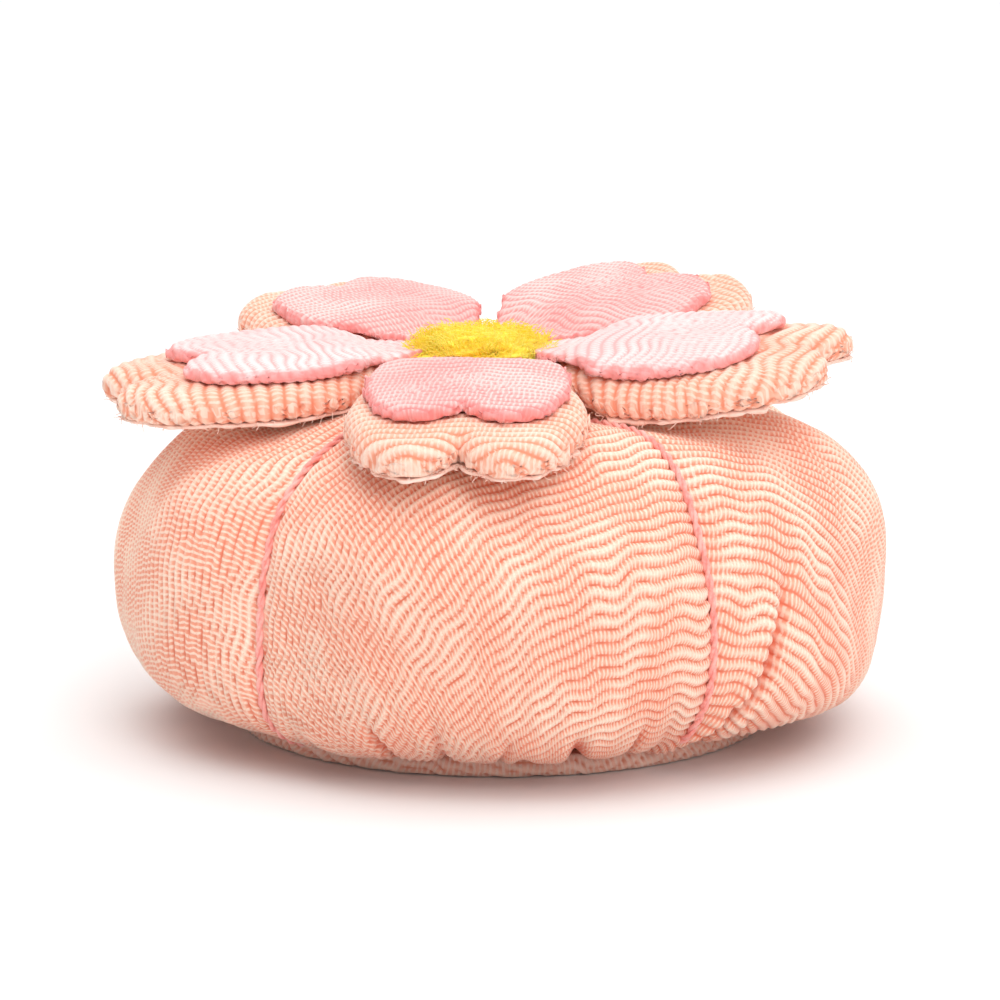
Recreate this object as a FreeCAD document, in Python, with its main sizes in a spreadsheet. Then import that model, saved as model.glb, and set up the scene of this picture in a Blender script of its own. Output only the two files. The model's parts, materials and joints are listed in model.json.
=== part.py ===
import FreeCAD, Part
import math
import os
import Sketcher

# Crepe pin cushion: a stuffed round bag drawn into five lobes by floss, on a cloth-covered base
# disc, with a double five-petalled blossom sewn on top. Millimetres, +Z up. The origin is the
# centre of the flat underside. The front lobe and the front petal point along -Y.

ZERO = FreeCAD.Vector(0, 0, 0)
UP = FreeCAD.Vector(0, 0, 1)
LOBES = 5
TIP_SHRINK = 0.6
# Sections of the bag: points round each lobe, levels above and below the waist, and the last
# level as a share of the way to the flat middle.
POINTS_PER_LOBE = 16
LEVELS = 9
LAST_SHARE = 0.94
# The floss stops short of the base disc.
FLOSS_END = -0.8
# Play between the base disc and the bag, and how far a hollow's cutters run past each other.
SEAT_GAP = 0.3
OVERCUT = 0.2

# Each petal's turn about +Z from the front, and how far it is tipped up at rest, in degrees.
PETALS = {
    "front": (0, -5.0),
    "right": (72, 5.0),
    "back_right": (144, 7.5),
    "back_left": (216, 3.5),
    "left": (288, -2.0),
}

DIMENSIONS = [
    ("base_radius", 24.8, "base disc, outside of its cloth"),
    ("base_height", 2.0, "base disc, underside to top"),
    ("base_round", 0.7, "rounding of the base disc's rim"),
    ("base_hem", 5.5, "cloth turned over onto the top of the card"),
    ("cloth", 0.45, "thickness of the crepe"),
    ("ease", 0.05, "clearance between a filling and its cover"),
    ("body_radius", 36.0, "body at its widest, on a lobe"),
    ("body_low", 1.6, "underside of the body"),
    ("body_waist", 13.5, "height at which the body is widest"),
    ("body_high", 30.7, "top of the body"),
    ("low_core", 19.0, "flat part of the underside, radius"),
    ("low_power", 3.1, "how square the lower curve is"),
    ("high_core", 11.0, "flat part of the top, radius"),
    ("high_power", 2.6, "how square the upper curve is"),
    ("groove_depth", 1.7, "how far the floss draws the cloth in at the waist"),
    ("groove_power", 0.7, "how sharp the groove between two lobes is"),
    ("mouth_radius", 6.2, "gathered mouth of the bag"),
    ("thread_radius", 0.3, "gathering thread and tie thread"),
    ("floss_radius", 0.35, "floss wrapped over the body"),
    ("floss_top", 7.2, "radius at which the floss enters the top"),
    ("flower_shift", -1.9, "the blossom's centre from the body's axis, along X"),
    ("flower_low", 32.0, "underside of the blossom"),
    ("hinge_radius", 5.6, "line on which a petal bends, from the blossom's centre"),
    ("backing", 0.35, "thickness of the backing cloth"),
    ("card", 0.5, "thickness of a petal's card"),
    ("petal_height", 3.2, "outer petal, underside to top"),
    ("petal_root", 5.8, "outer petal, inner end from the blossom's centre"),
    ("petal_root_half", 3.0, "outer petal, half width at its inner end"),
    ("petal_side", 14.5, "outer petal, end of its straight side"),
    ("petal_side_half", 8.9, "outer petal, half width there"),
    ("petal_corner", 30.3, "outer petal, start of its tip lobes"),
    ("petal_corner_half", 9.3, "outer petal, half width there"),
    ("petal_notch", 30.2, "outer petal, bottom of the notch in its tip"),
    ("petal_side_arc", 19.0, "outer petal, radius of its curved side"),
    ("petal_tip_arc", 4.8, "outer petal, radius of a tip lobe"),
    ("inner_height", 1.35, "inner petal, underside to top"),
    ("inner_root", 7.6, "inner petal, inner end from the blossom's centre"),
    ("inner_root_half", 3.2, "inner petal, half width at its inner end"),
    ("inner_side", 13.5, "inner petal, end of its straight side"),
    ("inner_side_half", 7.5, "inner petal, half width there"),
    ("inner_corner", 24.9, "inner petal, start of its tip lobes"),
    ("inner_corner_half", 7.7, "inner petal, half width there"),
    ("inner_notch", 24.9, "inner petal, bottom of the notch in its tip"),
    ("inner_side_arc", 16.0, "inner petal, radius of its curved side"),
    ("inner_tip_arc", 4.0, "inner petal, radius of a tip lobe"),
    ("stitch_radius", 4.4, "bundle of stitches that holds the petals' points"),
    ("tuft_radius", 6.3, "wool tuft"),
    ("tuft_low", 35.65, "underside of the wool tuft"),
    ("tuft_high", 37.9, "top of the wool tuft"),
]


def make_sheet(doc):
    """The spreadsheet of driving dimensions, and the same numbers by name."""
    sheet = doc.addObject("Spreadsheet::Sheet", "Dimensions")
    for row, (alias, value, meaning) in enumerate(DIMENSIONS, start=1):
        sheet.set(f"A{row}", alias)
        sheet.set(f"B{row}", str(value))
        sheet.set(f"C{row}", meaning)
        sheet.setAlias(f"B{row}", alias)
    doc.recompute()
    return sheet, {alias: float(sheet.get(alias)) for alias, _, _ in DIMENSIONS}


def plane_of(body, role):
    """One of a body's own origin planes."""
    return next(p for p in body.Origin.OriginFeatures if p.Role == role)


def new_body(doc, label):
    body = doc.addObject("PartDesign::Body", label)
    body.Label = label
    return body


def new_sketch(body, name, role):
    sketch = body.newObject("Sketcher::SketchObject", name)
    sketch.AttachmentSupport = (plane_of(body, role), [""])
    sketch.MapMode = "FlatFace"
    return sketch


def pin_point(sketch, geometry, end, across, along):
    """Fix a point of a sketch by two lengths from the origin, each (value, formula, sign)."""
    for kind, (value, formula, sign) in (("DistanceX", across), ("DistanceY", along)):
        ends = (-1, 1, geometry, end) if sign > 0 else (geometry, end, -1, 1)
        index = sketch.addConstraint(Sketcher.Constraint(kind, *ends, value))
        sketch.setExpression(f"Constraints[{index}]", formula)


def sheet_sum(size, terms):
    """A length that is a signed sum of cells, as its value and its formula."""
    value = sum(sign * size[alias] for sign, alias in terms)
    formula = " + ".join(f"({sign}) * Dimensions.{alias}" for sign, alias in terms)
    return value, formula


def petal_outline(sketch, size, kind, inset):
    """A notched petal along +X, its outline moved in by the sum of the cells in inset."""
    less = [(-1, alias) for alias in inset]
    more = [(1, alias) for alias in inset]
    # The notch moves in with the tip lobes, so their radius shrinks by less than the inset.
    tip_less = [(-TIP_SHRINK, alias) for alias in inset]

    def length(name, terms):
        return sheet_sum(size, [(1, f"{kind}_{name}"), *terms])

    root, root_half = length("root", more), length("root_half", less)
    side, side_half = length("side", []), length("side_half", less)
    corner, corner_half = length("corner", less), length("corner_half", less)
    notch = length("notch", less)
    side_arc, tip_arc = length("side_arc", less), length("tip_arc", tip_less)
    left = [(root, root_half), (side, side_half), (corner, corner_half)]
    points = [FreeCAD.Vector(x[0], y[0], 0) for x, y in left]
    points.append(FreeCAD.Vector(notch[0], 0, 0))
    points += [FreeCAD.Vector(p.x, -p.y, 0) for p in reversed(points[:3])]
    curves = [
        Part.LineSegment(points[0], points[1]),
        bulge(points[1], points[2], side_arc[0]),
        bulge(points[2], points[3], tip_arc[0]),
        bulge(points[3], points[4], tip_arc[0]),
        bulge(points[4], points[5], side_arc[0]),
        Part.LineSegment(points[5], points[6]),
        Part.LineSegment(points[6], points[0]),
    ]
    sketch.addGeometry(curves, False)
    # An arc runs anticlockwise in a sketch, so one drawn clockwise starts at its second point.
    first = [1, 2, 2, 2, 2, 1, 1]
    last = [3 - end for end in first]
    for i in range(len(curves)):
        j = (i + 1) % len(curves)
        sketch.addConstraint(Sketcher.Constraint("Coincident", i, last[i], j, first[j]))
    for i, (x, y) in enumerate(left):
        pin_point(sketch, i, first[i], (*x, 1), (*y, 1))
    for i, (x, y) in enumerate(reversed(left), start=4):
        pin_point(sketch, i, first[i], (*x, 1), (*y, -1))
    sketch.addConstraint(Sketcher.Constraint("PointOnObject", 3, first[3], -1))
    index = sketch.addConstraint(Sketcher.Constraint("DistanceX", -1, 1, 3, first[3], notch[0]))
    sketch.setExpression(f"Constraints[{index}]", notch[1])
    for i, arc in ((1, side_arc), (2, tip_arc), (3, tip_arc), (4, side_arc)):
        index = sketch.addConstraint(Sketcher.Constraint("Radius", i, arc[0]))
        sketch.setExpression(f"Constraints[{index}]", arc[1])


def bulge(start, end, radius):
    """The arc of a radius from start to end that bulges to the left of that direction."""
    chord = end - start
    half = chord.Length / 2
    left = FreeCAD.Vector(-chord.y, chord.x, 0).normalize()
    rise = radius - math.sqrt(max(radius**2 - half**2, 0))
    return Part.Arc(start, (start + end) * 0.5 + left * rise, end)


def pad(body, sketch, formula):
    feature = body.newObject("PartDesign::Pad", "Pad")
    feature.Profile = sketch
    feature.setExpression("Length", formula)
    sketch.Visibility = False
    return feature


def raise_sketch(sketch, formula):
    sketch.setExpression("AttachmentOffset.Base.z", formula)


def petal_slab(doc, label, size, kind, inset, low, thickness):
    """A flat petal-shaped piece from height low, each length a list of signed cells."""
    body = new_body(doc, label)
    sketch = new_sketch(body, "Outline", "XY_Plane")
    petal_outline(sketch, size, kind, inset)
    if low:
        raise_sketch(sketch, sheet_sum(size, low)[1])
    pad(body, sketch, sheet_sum(size, thickness)[1])
    doc.recompute()
    return body


def hollow_from_below(doc, body, size, kind, inset, low, depth):
    """Take the filling's space out of a petal cover, through its underside."""
    solid = body.Tip.Shape.Volume
    sketch = new_sketch(body, "Hollow_outline", "XY_Plane")
    petal_outline(sketch, size, kind, inset)
    raise_sketch(sketch, sheet_sum(size, low)[1])
    pocket = body.newObject("PartDesign::Pocket", "Hollow")
    pocket.Profile = sketch
    pocket.Reversed = True
    pocket.setExpression("Length", sheet_sum(size, depth)[1])
    doc.recompute()
    if pocket.Shape.Volume > solid * 0.8:
        raise RuntimeError(f"{body.Label}: the hollow cut nothing")


def place_petal(body, size, turn, tip):
    """Turn a petal's piece to its direction, tipped up about its hinge line."""
    direction = FreeCAD.Rotation(UP, turn - 90)
    hinge = FreeCAD.Vector(size["hinge_radius"], 0, 0)
    tipped = FreeCAD.Placement(ZERO, FreeCAD.Rotation(FreeCAD.Vector(0, -1, 0), tip), hinge)
    centre = FreeCAD.Vector(size["flower_shift"], 0, size["flower_low"])
    body.Placement = FreeCAD.Placement(centre, direction).multiply(tipped)


def build_petal(doc, size, name, turn, tip):
    """One double petal: backing cloth, card, wadding and cover, then the inner petal."""
    up = [(1, "backing")]
    card_low = [*up, (1, "ease")]
    wadding_low = [*card_low, (1, "card"), (1, "ease")]
    top_of_hollow = [(1, "petal_height"), (-1, "cloth")]
    cover_height = [(1, "petal_height"), (-1, "backing")]
    inner_low = [(1, "petal_height"), (1, "ease")]
    backing = petal_slab(
        doc, f"petal_backing_{name}", size, "petal", ["backing"], [], [(1, "backing"), (-1, "ease")]
    )
    card = petal_slab(
        doc, f"petal_card_{name}", size, "petal", ["cloth", "ease"], card_low, [(1, "card")]
    )
    wadding = petal_slab(
        doc, f"petal_wadding_{name}", size, "petal", ["cloth", "ease"], wadding_low,
        [*top_of_hollow, (-1, "backing"), (-3, "ease"), (-1, "card")],
    )
    cover = petal_slab(doc, f"petal_cover_{name}", size, "petal", [], up, cover_height)
    hollow_from_below(
        doc, cover, size, "petal", ["cloth"], up, [*cover_height, (-1, "cloth")]
    )
    inner_cover = petal_slab(
        doc, f"inner_petal_cover_{name}", size, "inner", [], inner_low, [(1, "inner_height")]
    )
    hollow_from_below(
        doc, inner_cover, size, "inner", ["cloth"], inner_low,
        [(1, "inner_height"), (-1, "cloth")],
    )
    inner_wadding = petal_slab(
        doc, f"inner_petal_wadding_{name}", size, "inner", ["cloth", "ease"], inner_low,
        [(1, "inner_height"), (-1, "cloth"), (-1, "ease")],
    )
    pieces = [backing, card, wadding, cover, inner_cover, inner_wadding]
    for piece in pieces:
        place_petal(piece, size, turn, tip)
    return pieces


def build_base(doc, size):
    """The base disc: a card with crepe wrapped round it and turned over onto its top."""
    board = new_body(doc, "base_board")
    sketch = new_sketch(board, "Disc", "XY_Plane")
    radius = size["base_radius"] - size["cloth"] - size["ease"]
    sketch.addGeometry(Part.Circle(ZERO, UP, radius), False)
    sketch.addConstraint(Sketcher.Constraint("Coincident", 0, 3, -1, 1))
    index = sketch.addConstraint(Sketcher.Constraint("Radius", 0, radius))
    formula = "Dimensions.base_radius - Dimensions.cloth - Dimensions.ease"
    sketch.setExpression(f"Constraints[{index}]", formula)
    raise_sketch(sketch, "Dimensions.cloth + Dimensions.ease")
    pad(board, sketch, "Dimensions.base_height - 2 * (Dimensions.cloth + Dimensions.ease)")

    cover = new_body(doc, "base_cover")
    sketch = new_sketch(cover, "Section", "XZ_Plane")
    high = "Dimensions.base_height"
    wall = "Dimensions.cloth"
    out = "Dimensions.base_radius"
    hem = "Dimensions.base_hem"
    x_out, z_high, t = size["base_radius"], size["base_height"], size["cloth"]
    x_hem = x_out - size["base_hem"]
    # The section's corners from the axis outwards and round, each as (value, formula) pairs.
    corners = [
        ((0, None), (0, None)),
        ((x_out, out), (0, None)),
        ((x_out, out), (z_high, high)),
        ((x_hem, f"{out} - {hem}"), (z_high, high)),
        ((x_hem, f"{out} - {hem}"), (z_high - t, f"{high} - {wall}")),
        ((x_out - t, f"{out} - {wall}"), (z_high - t, f"{high} - {wall}")),
        ((x_out - t, f"{out} - {wall}"), (t, wall)),
        ((0, None), (t, wall)),
    ]
    points = [FreeCAD.Vector(x[0], z[0], 0) for x, z in corners]
    for i, point in enumerate(points):
        sketch.addGeometry(Part.LineSegment(point, points[(i + 1) % len(points)]), False)
    for i in range(len(points)):
        j = (i + 1) % len(points)
        sketch.addConstraint(Sketcher.Constraint("Coincident", i, 2, j, 1))
    for i, (x, z) in enumerate(corners):
        if x[1] and z[1]:
            pin_point(sketch, i, 1, (*x, 1), (*z, 1))
            continue
        for kind, (value, formula) in (("DistanceX", x), ("DistanceY", z)):
            index = sketch.addConstraint(Sketcher.Constraint(kind, -1, 1, i, 1, value))
            if formula:
                sketch.setExpression(f"Constraints[{index}]", formula)
    turned = cover.newObject("PartDesign::Revolution", "Turned")
    turned.Profile = sketch
    turned.ReferenceAxis = (sketch, ["V_Axis"])
    turned.Angle = 360
    doc.recompute()
    rim = [
        f"Edge{i}"
        for i, edge in enumerate(turned.Shape.Edges, start=1)
        if abs(edge.BoundBox.XMax - x_out) < 1e-3 and edge.BoundBox.ZLength < 1e-4
    ]
    rounding = cover.newObject("PartDesign::Fillet", "Rounding")
    rounding.Base = (turned, rim)
    rounding.setExpression("Radius", "Dimensions.base_round - Dimensions.cloth / 2")
    doc.recompute()
    return [board, cover]


def profile_point(size, share, inset):
    """Radius and height on a lobe's outline: share runs from -1, underneath, to 1, on top."""
    low = share < 0
    side = "low" if low else "high"
    core = size[f"{side}_core"]
    power = 2 / size[f"{side}_power"]
    turn = abs(share) * math.pi / 2
    end = size["body_low"] + inset if low else size["body_high"] - inset
    radius = core + (size["body_radius"] - inset - core) * math.cos(turn) ** power
    height = size["body_waist"] + (end - size["body_waist"]) * math.sin(turn) ** power
    return radius, height


def groove_share(angle, size):
    """1 in a groove between two lobes, 0 on top of a lobe; angle is from the front lobe."""
    return 1 - abs(math.cos(LOBES / 2 * angle)) ** size["groove_power"]


def lobed_wire(size, radius, height):
    """One closed level section of the body."""
    points = []
    around = LOBES * POINTS_PER_LOBE
    depth = size["groove_depth"] * radius / size["body_radius"]
    for i in range(around):
        angle = 2 * math.pi * i / around
        reach = radius - depth * groove_share(angle, size)
        points.append(FreeCAD.Vector(reach * math.sin(angle), -reach * math.cos(angle), height))
    curve = Part.BSplineCurve()
    curve.interpolate(points, PeriodicFlag=True)
    return Part.Wire([curve.toShape()])


def lobed_solid(size, inset):
    """The stuffed bag's outer form, moved in by inset."""
    shares = [i / LEVELS for i in range(-LEVELS, LEVELS + 1)]
    # The last sections are pulled in a little from flat, so that no two lie at one height.
    shares = [max(-LAST_SHARE, min(LAST_SHARE, share)) for share in shares]
    wires = [lobed_wire(size, *profile_point(size, share, inset)) for share in shares]
    return Part.makeLoft(wires, True, False)


def tube(points, radius):
    """A round tube along straight runs with a tangent arc at each point between."""
    edges = []
    here = points[0]
    for before, corner, after in zip(points, points[1:], points[2:]):
        to_before = before - corner
        to_after = after - corner
        reach = 0.45 * min(to_before.Length, to_after.Length)
        start = corner + to_before.normalize() * reach
        end = corner + to_after.normalize() * reach
        half = (math.pi - to_before.getAngle(to_after)) / 2
        bend = reach / math.tan(half)
        inward = (to_before + to_after).normalize()
        middle = corner + inward * (bend / math.cos(half) - bend)
        edges.append(Part.LineSegment(here, start).toShape())
        edges.append(Part.Arc(start, middle, end).toShape())
        here = end
    edges.append(Part.LineSegment(here, points[-1]).toShape())
    path = Part.Wire(edges)
    along = points[1] - points[0]
    section = Part.Wire([Part.Circle(points[0], along, radius).toShape()])
    return path.makePipeShell([section], True, True)


def build_body(doc, size):
    """The bag, its filling, the threads that shape it and the floss over it."""
    cloth, ease = size["cloth"], size["ease"]
    seat_radius = size["base_radius"] + SEAT_GAP
    seat_high = size["base_height"] + 2 * ease
    seat = Part.makeCylinder(seat_radius, seat_high + 1, FreeCAD.Vector(0, 0, -1))
    hollow = lobed_solid(size, cloth).cut(
        Part.makeCylinder(seat_radius + cloth, seat_high + cloth + 1, FreeCAD.Vector(0, 0, -1))
    )
    mouth = Part.makeCylinder(size["mouth_radius"], seat_high + cloth + OVERCUT)
    bag = lobed_solid(size, 0).cut(seat).cut(hollow).cut(mouth)
    filling = lobed_solid(size, cloth + ease).cut(
        Part.makeCylinder(seat_radius + cloth, seat_high + cloth + OVERCUT + 1, FreeCAD.Vector(0, 0, -1))
    )
    gathering = Part.makeTorus(
        size["mouth_radius"] - size["thread_radius"] - ease, size["thread_radius"],
        FreeCAD.Vector(0, 0, seat_high + size["thread_radius"] + ease), UP,
    )
    tie_low = seat_high + ease
    tie = Part.makeCylinder(
        size["thread_radius"], size["body_high"] - tie_low, FreeCAD.Vector(0, 0, tie_low)
    )
    solids = {
        "body_cover": bag,
        "body_stuffing": filling,
        "gathering_thread": gathering,
        "centre_tie": tie,
    }
    for i in range(LOBES):
        solids[f"wrap_thread_{i + 1}"] = wrap_thread(size, math.pi * (2 * i + 1) / LOBES)
    return [fixed_shape(doc, label, solid) for label, solid in solids.items()]


def wrap_thread(size, angle):
    """Floss in one groove, from the top of the body over its side to the base disc."""
    radius = size["floss_radius"]
    steps = 12
    first_share, last_share = LAST_SHARE, FLOSS_END
    out = FreeCAD.Vector(math.sin(angle), -math.cos(angle), 0)
    route = []
    high = size["body_high"] + radius
    route.append(out * size["floss_top"] + UP * high)
    for i in range(steps + 1):
        share = first_share + (last_share - first_share) * i / steps
        crest, height = profile_point(size, share, -radius)
        depth = size["groove_depth"] * crest / size["body_radius"]
        route.append(out * (crest - depth) + UP * height)
    return tube(route, radius)


def build_flower_centre(doc, size):
    """The stitches that hold the petals' points, and the wool tuft over them."""
    centre = FreeCAD.Vector(size["flower_shift"], 0, 0)
    low = size["body_high"] + size["ease"]
    stitches = doc.addObject("Part::Cylinder", "flower_stitches")
    stitches.Label = "flower_stitches"
    stitches.setExpression("Radius", "Dimensions.stitch_radius")
    stitches.setExpression(
        "Height", "Dimensions.tuft_low - Dimensions.body_high - 2 * Dimensions.ease"
    )
    stitches.Placement = FreeCAD.Placement(centre + UP * low, FreeCAD.Rotation())
    # The tuft is a cap of an ellipsoid: a ball flattened about its level underside.
    rise = size["tuft_high"] - size["tuft_low"]
    ball = Part.makeSphere(size["tuft_radius"], ZERO, UP, 0, 90, 360)
    squeeze = FreeCAD.Matrix()
    squeeze.scale(1, 1, rise / size["tuft_radius"])
    tuft = fixed_shape(doc, "flower_tuft", ball.transformGeometry(squeeze))
    tuft.Placement = FreeCAD.Placement(centre + UP * size["tuft_low"], FreeCAD.Rotation())
    return [stitches, tuft]


def fixed_shape(doc, label, shape):
    feature = doc.addObject("Part::Feature", label)
    feature.Label = label
    feature.Shape = shape
    feature.Placement = FreeCAD.Placement()
    return feature


def check_and_write(doc, pieces):
    """Refuse a failed object, then write each piece to parts/."""
    doc.recompute()
    for thing in doc.Objects:
        if "Invalid" in thing.State or "Error" in thing.State:
            raise RuntimeError(f"{thing.Label} failed: {thing.State}")
    os.makedirs("parts", exist_ok=True)
    for piece in pieces:
        shape = piece.Shape
        if shape.isNull() or not shape.isValid() or not shape.Solids:
            raise RuntimeError(f"{piece.Label} has no valid solid")
        box = shape.BoundBox
        print(
            f"{piece.Label}: {len(shape.Solids)} solid, {shape.Volume:.1f} mm3, "
            f"z {box.ZMin:.2f} to {box.ZMax:.2f}"
        )
        shape.exportStep(f"parts/{piece.Label}.step")


def main():
    doc = FreeCAD.newDocument("pin_cushion")
    _, size = make_sheet(doc)
    pieces = build_base(doc, size) + build_body(doc, size) + build_flower_centre(doc, size)
    for name, (turn, tip) in PETALS.items():
        pieces += build_petal(doc, size, name, turn, tip)
    check_and_write(doc, pieces)


main()
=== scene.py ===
"""Crepe pin cushion with a double blossom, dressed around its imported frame.

Sizes in the classes are in millimetres in the row frame; meshes are handed over in metres.
A soft piece starts as a sphere whose latitude and longitude are laid over the piece's own form,
so that its cloth has no seam, and the crepe's ridges are then raised on it as real relief.
"""

import json
import logging
import math
from dataclasses import dataclass, field
from enum import Enum

import bpy
import numpy as np
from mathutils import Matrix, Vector
from mathutils.bvhtree import BVHTree


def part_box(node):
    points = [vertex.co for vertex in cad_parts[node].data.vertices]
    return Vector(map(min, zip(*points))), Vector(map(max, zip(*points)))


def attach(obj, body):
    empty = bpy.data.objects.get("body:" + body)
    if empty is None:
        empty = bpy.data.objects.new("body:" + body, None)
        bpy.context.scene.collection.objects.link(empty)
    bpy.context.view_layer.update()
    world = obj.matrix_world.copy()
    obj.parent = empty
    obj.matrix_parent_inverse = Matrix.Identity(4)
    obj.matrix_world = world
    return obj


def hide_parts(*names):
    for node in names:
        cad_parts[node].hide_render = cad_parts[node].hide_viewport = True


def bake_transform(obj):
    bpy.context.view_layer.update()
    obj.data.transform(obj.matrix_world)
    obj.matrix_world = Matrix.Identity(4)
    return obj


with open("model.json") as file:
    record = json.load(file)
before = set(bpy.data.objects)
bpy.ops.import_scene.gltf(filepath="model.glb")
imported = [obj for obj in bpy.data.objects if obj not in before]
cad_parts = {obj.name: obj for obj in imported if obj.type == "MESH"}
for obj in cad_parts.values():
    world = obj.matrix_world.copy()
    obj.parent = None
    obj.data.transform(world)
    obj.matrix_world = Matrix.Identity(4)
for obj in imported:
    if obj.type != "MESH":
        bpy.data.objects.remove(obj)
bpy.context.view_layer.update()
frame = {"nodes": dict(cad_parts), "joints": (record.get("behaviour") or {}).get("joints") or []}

MM = 0.001
LOBES = 5
LOG = logging.getLogger("pin_cushion")


def screen_colour(red: int, green: int, blue: int) -> tuple[float, float, float, float]:
    """A shader colour from the 0 to 255 values a dyer's chart gives.

    Args:
        red: Red, 0 to 255.
        green: Green, 0 to 255.
        blue: Blue, 0 to 255.

    Returns:
        The linear colour with full alpha.
    """
    linear = [((c / 255 + 0.055) / 1.055) ** 2.4 if c > 10 else c / 3294.6 for c in (red, green, blue)]
    return (*linear, 1.0)


def smooth_step(low: float, high: float, value: np.ndarray) -> np.ndarray:
    """0 below low, 1 above high, and a smooth rise between."""
    share = np.clip((value - low) / (high - low), 0, 1)
    return share * share * (3 - 2 * share)


class Waves:
    """A smooth irregular field: plane waves of random direction, length and phase."""

    def __init__(
        self, seed: int, shortest: float, longest: float, slant: float = math.pi, count: int = 14
    ) -> None:
        """Draw the waves.

        Args:
            seed: Seed of the random numbers.
            shortest: Shortest wavelength.
            longest: Longest wavelength.
            slant: How far a wave's direction may turn from the first axis.
            count: Number of waves.
        """
        draw = np.random.default_rng(seed)
        turn = draw.uniform(-slant, slant, count)
        number = 2 * math.pi / draw.uniform(shortest, longest, count)
        self.first = number * np.cos(turn)
        self.second = number * np.sin(turn)
        self.phase = draw.uniform(0, 2 * math.pi, count)
        self.scale = math.sqrt(2 / count)

    def __call__(self, first: np.ndarray, second: np.ndarray) -> np.ndarray:
        """The field at points, with a spread of about 1."""
        total = np.zeros_like(first, dtype=float)
        for a, b, phase in zip(self.first, self.second, self.phase):
            total += np.sin(a * first + b * second + phase)
        return total * self.scale


# ---------------------------------------------------------------- shaders


class Sock:
    """A shader socket that takes part in arithmetic."""

    def __init__(self, shader: "Shader", socket: bpy.types.NodeSocket) -> None:
        """Wrap a socket of a shader."""
        self.shader = shader
        self.socket = socket

    def __add__(self, other: "Sock | float") -> "Sock":
        """Sum."""
        return self.shader.math("ADD", self, other)

    def __rsub__(self, other: float) -> "Sock":
        """Difference from a number."""
        return self.shader.math("SUBTRACT", other, self)

    def __mul__(self, other: "Sock | float") -> "Sock":
        """Product."""
        return self.shader.math("MULTIPLY", self, other)

    def __truediv__(self, other: "Sock | float") -> "Sock":
        """Quotient."""
        return self.shader.math("DIVIDE", self, other)


class Shader:
    """One material under construction."""

    def __init__(self, name: str) -> None:
        """Start an empty material."""
        self.material = bpy.data.materials.new(name)
        self.material.use_nodes = True
        self.tree = self.material.node_tree
        self.tree.nodes.clear()

    def node(
        self, kind: str, settings: dict | None = None, sockets: dict | None = None
    ) -> bpy.types.Node:
        """Add a node.

        Args:
            kind: The node's type.
            settings: Its own settings, set first.
            sockets: Values or links of its inputs, by name or number.

        Returns:
            The node.
        """
        made = self.tree.nodes.new(kind)
        for key, value in (settings or {}).items():
            setattr(made, key, value)
        for key, value in (sockets or {}).items():
            if isinstance(value, Sock):
                self.tree.links.new(value.socket, made.inputs[key])
            else:
                made.inputs[key].default_value = value
        return made

    def out(self, node: bpy.types.Node, output: str | int = 0) -> Sock:
        """One output of a node, for arithmetic."""
        return Sock(self, node.outputs[output])

    def math(self, operation: str, first: "Sock | float", second: "Sock | float" = 0.0) -> Sock:
        """A Math node on two values."""
        return self.out(
            self.node("ShaderNodeMath", {"operation": operation}, {0: first, 1: second})
        )

    def smooth(self, value: Sock, low: float, high: float) -> Sock:
        """0 below low, 1 above high, smooth between."""
        made = self.node(
            "ShaderNodeMapRange",
            {"interpolation_type": "SMOOTHSTEP"},
            {"Value": value, "From Min": low, "From Max": high},
        )
        return self.out(made)

    def mix(self, share: "Sock | float", first: "Sock | tuple", second: "Sock | tuple") -> Sock:
        """A mix of two colours."""
        made = self.node(
            "ShaderNodeMix", {"data_type": "RGBA"}, {0: share, 6: first, 7: second}
        )
        return self.out(made, 2)

    def attribute(self, name: str) -> Sock:
        """A number stored on the piece's points."""
        return self.out(self.node("ShaderNodeAttribute", {"attribute_name": name}), "Fac")

    def noise(self, place: Sock, scale: float, detail: float = 2.0, flat: bool = True) -> Sock:
        """Noise about 0.5 over a place."""
        made = self.node(
            "ShaderNodeTexNoise",
            {"noise_dimensions": "2D" if flat else "3D"},
            {"Vector": place, "Scale": scale, "Detail": detail},
        )
        return self.out(made, 0)

    def finish(
        self, colour: "Sock | tuple", roughness: "Sock | float", height: Sock | None,
        bump: float = 0.5, depth: float = 0.1, sheen: float = 0.0, extra: dict | None = None,
    ) -> bpy.types.Material:
        """Close the material with a principled surface.

        Args:
            colour: Base colour.
            roughness: Roughness.
            height: Height that a bump follows, or None.
            bump: Strength of the bump.
            depth: Depth of the bump, in millimetres.
            sheen: Weight of the cloth's sheen.
            extra: Further values of the surface's own sockets.

        Returns:
            The material.
        """
        sockets = {"Base Color": colour, "Roughness": roughness, "Sheen Weight": sheen}
        sockets.update(extra or {})
        if height is not None:
            made = self.node(
                "ShaderNodeBump", None, {"Strength": bump, "Distance": depth * MM, "Height": height}
            )
            sockets["Normal"] = self.out(made)
        surface = self.node("ShaderNodeBsdfPrincipled", None, sockets)
        self.node("ShaderNodeOutputMaterial", None, {"Surface": self.out(surface)})
        return self.material


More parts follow.
